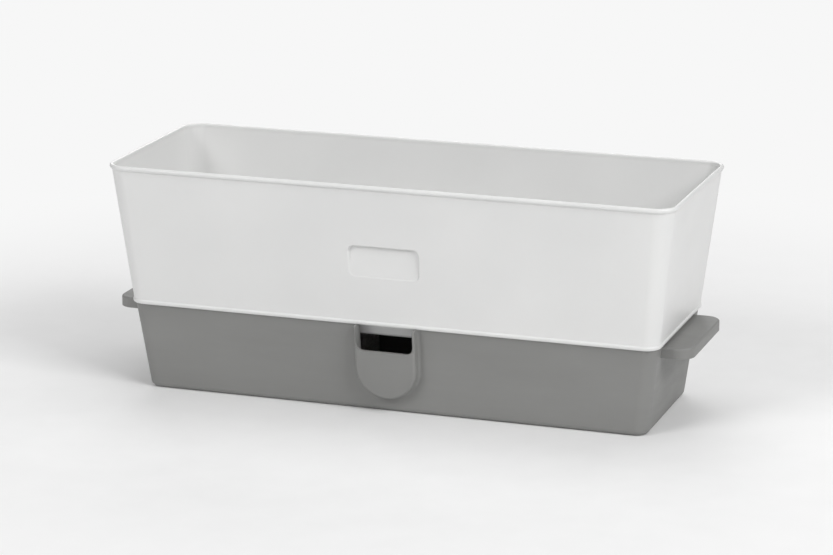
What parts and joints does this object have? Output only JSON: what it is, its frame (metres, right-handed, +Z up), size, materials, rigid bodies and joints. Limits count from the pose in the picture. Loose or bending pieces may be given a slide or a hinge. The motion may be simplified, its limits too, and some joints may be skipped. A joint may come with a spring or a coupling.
{
  "type": "self-watering herb keeper",
  "caption": "Self-watering herb keeper: tapered white steel planter on a grey moulded reservoir tray with end handles and a front filling scoop, fed by felt wicks.",
  "frame": {"origin": "middle of the resting face under the tray", "axes": "+X along the length, -Y the front with the filling scoop, +Z up"},
  "size_m": [0.3994, 0.146, 0.156],
  "materials": {
    "planter_steel": "satin white powder coat",
    "tray_plastic": "fine matt moulded",
    "felt": "dense off-white needle felt"
  },
  "bodies": {
    "tray": {"reservoir_tray": "tray_plastic"},
    "planter": {"planter_body": "planter_steel", "planter_floor": "planter_steel"},
    "left_wick": {"wick_left": "felt"},
    "middle_wick": {"wick_middle": "felt"},
    "right_wick": {"wick_right": "felt"}
  },
  "joints": [
    {"name": "planter_lift", "type": "slide", "parent": "tray", "child": "planter", "axis": [0, 0, 1], "range_m": [0, 0.12]},
    {"name": "left_wick_lift", "type": "slide", "parent": "planter", "child": "left_wick", "axis": [0, 0, 1], "range_m": [0, 0.155]},
    {"name": "middle_wick_lift", "type": "slide", "parent": "planter", "child": "middle_wick", "axis": [0, 0, 1], "range_m": [0, 0.155]},
    {"name": "right_wick_lift", "type": "slide", "parent": "planter", "child": "right_wick", "axis": [0, 0, 1], "range_m": [0, 0.155]}
  ]
}
